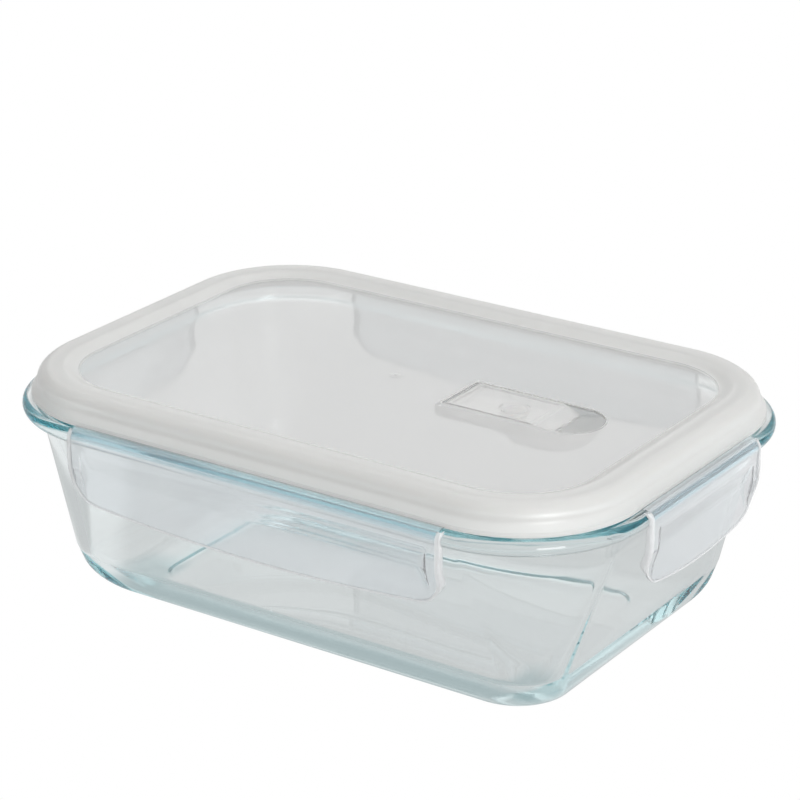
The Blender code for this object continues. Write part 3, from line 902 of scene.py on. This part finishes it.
def make_flap():
    """The vent flap: barrel, trunnions, bordered plate and turned-down finger end."""
    top = FLAP_HIGH.z
    tip = FLAP_HIGH.x
    barrel = top - PIVOT.z
    points = [(FLAP_BEND_X, top), (tip - 0.0006, top - FLAP_TIP_DROP),
              (tip, top - FLAP_TIP_DROP - 0.0004),
              (tip - 0.0002, top - FLAP_TIP_DROP - FLAP_THICKNESS),
              (FLAP_BEND_X, top - FLAP_THICKNESS)]
    under = math.asin((top - FLAP_THICKNESS - PIVOT.z) / barrel)
    for step in range(21):
        angle = under + (math.pi / 2 - under - 2 * math.pi) * step / 20
        points.append((PIVOT.x + barrel * math.cos(angle), PIVOT.z + barrel * math.sin(angle)))
    rows = [[Vector((x, y, z)) for x, z in points] for y in (-FLAP_HALF_WIDTH, FLAP_HALF_WIDTH)]
    flap = finish_object("flap", loft(rows), "vent", "vent_flap",
                         replaces=("vent_flap",))
    vent_x = (PLUG_LOW.x + PLUG_HIGH.x) / 2
    under_z = top - FLAP_THICKNESS
    boolean(flap, cylinder(PIVOT, 0.0009, FLAP_HIGH.y - FLAP_LOW.y, axis="Y"), "UNION")
    boolean(flap, cylinder((vent_x, 0, under_z - 0.0004), 0.0052, 0.0016), "UNION")
    boolean(flap, cylinder((vent_x, 0, under_z - 0.0008), 0.0044, 0.0016), "DIFFERENCE")
    inner = FLAP_HALF_WIDTH - FLAP_BORDER
    pocket = rounded_box((PIVOT.x + 0.0006, -inner, top - FLAP_POCKET),
                         (FLAP_BEND_X - 0.0005, inner, top + 0.001), 0.0003)
    boolean(flap, pocket, "DIFFERENCE")
    # The flap takes the vent plastic, painted lighter to lift its shade.
    flap.data.materials.clear()
    flap.data.materials.append(MATERIALS["vent"])
    soften(flap, 0.00025, angle_deg=35)


def make_plug():
    """The silicone plug under the flap."""
    centre = ((PLUG_LOW.x + PLUG_HIGH.x) / 2, 0)
    head = (PLUG_HIGH.x - PLUG_LOW.x) / 2
    stem = VENT_HOLE_R - 0.0004
    seat = WELL_FLOOR_Z + GAP
    profile = [(head - 0.0003, PLUG_HIGH.z), (head, PLUG_HIGH.z - 0.0003),
               (head, seat + 0.0005), (head - 0.0004, seat), (stem + 0.0004, seat),
               (stem, seat - 0.0003), (stem, PLUG_LOW.z + 0.0005), (stem - 0.0005, PLUG_LOW.z)]
    finish_object("plug", turned(profile, centre), "silicone", "vent_flap",
                  smooth_deg=60, replaces=("vent_plug",))


# ---------------------------------------------------------------- stage

def share_of(tree, value, start, end):
    """A smooth 0..1 share of a value between start and end."""
    node = add(tree, "ShaderNodeMapRange", interpolation_type="SMOOTHSTEP",
               sockets={"From Min": start, "From Max": end, "To Min": 0.0, "To Max": 1.0})
    tree.links.new(value, node.inputs["Value"])
    return node.outputs["Result"]


def scaled(tree, factor, amount):
    """A factor times an amount."""
    node = add(tree, "ShaderNodeMath", operation="MULTIPLY")
    node.inputs[1].default_value = amount
    tree.links.new(factor, node.inputs[0])
    return node.outputs["Value"]


def combine(tree, operation, first, second):
    """A math node on two linked values."""
    node = add(tree, "ShaderNodeMath", operation=operation)
    tree.links.new(first, node.inputs[0])
    tree.links.new(second, node.inputs[1])
    return node.outputs["Value"]


def toward(tree, vector, direction):
    """How much a vector points along a direction."""
    node = add(tree, "ShaderNodeVectorMath", operation="DOT_PRODUCT")
    node.inputs[1].default_value = direction
    tree.links.new(vector, node.inputs[0])
    return node.outputs["Value"]


def level(tree, base, changes):
    """A base level plus weighted factors, as one value."""
    total = add(tree, "ShaderNodeValue").outputs["Value"]
    total.default_value = base
    for factor, amount in changes:
        total = combine(tree, "ADD", total, scaled(tree, factor, amount))
    return total


def two_faced(tree, seen, lit, out_kind):
    """White to the camera, and a lit level to light that bends or bounces."""
    kind = "ShaderNodeBackground" if out_kind == "ShaderNodeOutputWorld" else "ShaderNodeEmission"
    path = add(tree, "ShaderNodeLightPath")
    direct = add(tree, kind, sockets={"Color": (*seen, 1), "Strength": 1.0})
    other = add(tree, kind, sockets={"Strength": 1.0})
    tree.links.new(lit, other.inputs["Color"])
    mix = add(tree, "ShaderNodeMixShader")
    out = add(tree, out_kind)
    tree.links.new(path.outputs["Is Camera Ray"], mix.inputs["Fac"])
    tree.links.new(other.outputs[0], mix.inputs[1])
    tree.links.new(direct.outputs[0], mix.inputs[2])
    tree.links.new(mix.outputs["Shader"], out.inputs["Surface"])


def floor_material():
    """A pale floor that glows with a painted lit level: a soft painted shadow under the base's front
    edge, painted light and shade stripes at the left, painted light to the right.
    """
    made, tree = new_material("pale_floor")
    where = add(tree, "ShaderNodeTexCoord")
    size = add(tree, "ShaderNodeVectorMath", operation="ABSOLUTE")
    core = add(tree, "ShaderNodeVectorMath", operation="SUBTRACT")
    outside = add(tree, "ShaderNodeVectorMath", operation="MAXIMUM")
    distance = add(tree, "ShaderNodeVectorMath", operation="LENGTH")
    core.inputs[1].default_value = SHADE_CORE
    outside.inputs[1].default_value = (0, 0, 0)
    tree.links.new(where.outputs["Object"], size.inputs[0])
    tree.links.new(size.outputs["Vector"], core.inputs[0])
    tree.links.new(core.outputs["Vector"], outside.inputs[0])
    tree.links.new(outside.outputs["Vector"], distance.inputs[0])
    rise = share_of(tree, distance.outputs["Value"], *SHADE_RISE)
    fall = share_of(tree, distance.outputs["Value"], *SHADE_FALL)
    near = share_of(tree, toward(tree, where.outputs["Object"], SHADE_SIDE[0]), *SHADE_SIDE[1:])
    ring_shade = combine(tree, "MULTIPLY", combine(tree, "SUBTRACT", rise, fall), near)
    left = toward(tree, where.outputs["Object"], LEFT_DIRECTION)
    # Painted light: the floor grows lighter towards the right.
    right = toward(tree, where.outputs["Object"], RIGHT_DIRECTION)
    right = share_of(tree, right, *FLOOR_RIGHT_PAINTED_LIGHT_SPAN)
    # Painted light and shade stripes on the floor at the left.
    painted_light_and_shade_stripes = [(share_of(tree, left, start, end), amount) for start, end, amount in LEFT_PAINTED_LIGHT_AND_SHADE_STRIPES]
    lit = level(tree, FLOOR_LEVEL, [(ring_shade, -SHADE_DEPTH), (right, FLOOR_RIGHT_PAINTED_LIGHT)] + painted_light_and_shade_stripes)
    tint = tinted(tree, ring_shade, (1, 1, 1), SHADE_TINT)
    colour = add(tree, "ShaderNodeVectorMath", operation="MULTIPLY")
    tree.links.new(lit, colour.inputs[0])
    tree.links.new(tint, colour.inputs[1])
    two_faced(tree, (1, 1, 1), colour.outputs["Vector"], "ShaderNodeOutputMaterial")
    return made


def make_floor():
    """The floor, just under the base."""
    mesh = bmesh.new()
    bmesh.ops.create_grid(mesh, x_segments=1, y_segments=1, size=3.0)
    data = bpy.data.meshes.new("floor")
    mesh.to_mesh(data)
    mesh.free()
    data.materials.append(floor_material())
    floor = bpy.data.objects.new("floor", data)
    floor.location = (0, 0, CAD_BOX[0][2] - 0.0002)
    bpy.context.scene.collection.objects.link(floor)


def make_world():
    """White behind the object, and a soft grey studio for everything that reflects or bends."""
    world = bpy.data.worlds.new("studio")
    bpy.context.scene.world = world
    world.use_nodes = True
    tree = world.node_tree
    tree.nodes.clear()
    where = add(tree, "ShaderNodeTexCoord").outputs["Generated"]
    changes = []
    for direction, start, end, amount in STUDIO:
        changes.append((share_of(tree, toward(tree, where, direction), start, end), amount))
    two_faced(tree, (1, 1, 1), level(tree, STUDIO_LEVEL, changes), "ShaderNodeOutputWorld")


def softbox(name, location, width, height, power):
    """A rectangular area light that faces the object."""
    data = bpy.data.lights.new(name, "AREA")
    data.shape = "RECTANGLE"
    data.size, data.size_y = width, height
    data.energy = power
    light = bpy.data.objects.new(name, data)
    light.location = location
    light.rotation_euler = (Vector((0, 0, 0.05)) - Vector(location)).to_track_quat(
        "-Z", "Y").to_euler()
    light.visible_camera = False
    bpy.context.scene.collection.objects.link(light)
    return light


def make_lights():
    """One weak softbox at the right."""
    softbox("key_right", (1.15, -0.75, 0.45), 0.5, 0.6, 7.0)


def make_camera():
    """The camera, from its azimuth, elevation and distance."""
    data = bpy.data.cameras.new("camera")
    data.lens = CAMERA_LENS
    data.clip_start = 0.01
    camera = bpy.data.objects.new("camera", data)
    az, el = math.radians(CAMERA_AZIMUTH), math.radians(CAMERA_ELEVATION)
    back = Vector((math.sin(az) * math.cos(el), -math.cos(az) * math.cos(el), math.sin(el)))
    camera.location = CAMERA_AIM + back * CAMERA_DISTANCE
    camera.rotation_euler = (math.pi / 2 - el, 0, az)
    bpy.context.scene.collection.objects.link(camera)
    bpy.context.scene.camera = camera


def set_light_paths(cycles):
    """Enough bounces for light that runs far inside the glass, which makes its edges teal."""
    cycles.max_bounces = 160
    cycles.glossy_bounces = 128
    cycles.transmission_bounces = 64
    cycles.diffuse_bounces = 12
    cycles.transparent_max_bounces = 24


bpy.context.scene.view_settings.view_transform = "Standard"
set_light_paths(bpy.context.scene.cycles)
make_camera()
make_world()
make_lights()
make_floor()
make_bowl()
make_lid()
make_gasket()
make_latches()
make_flap()
make_plug()
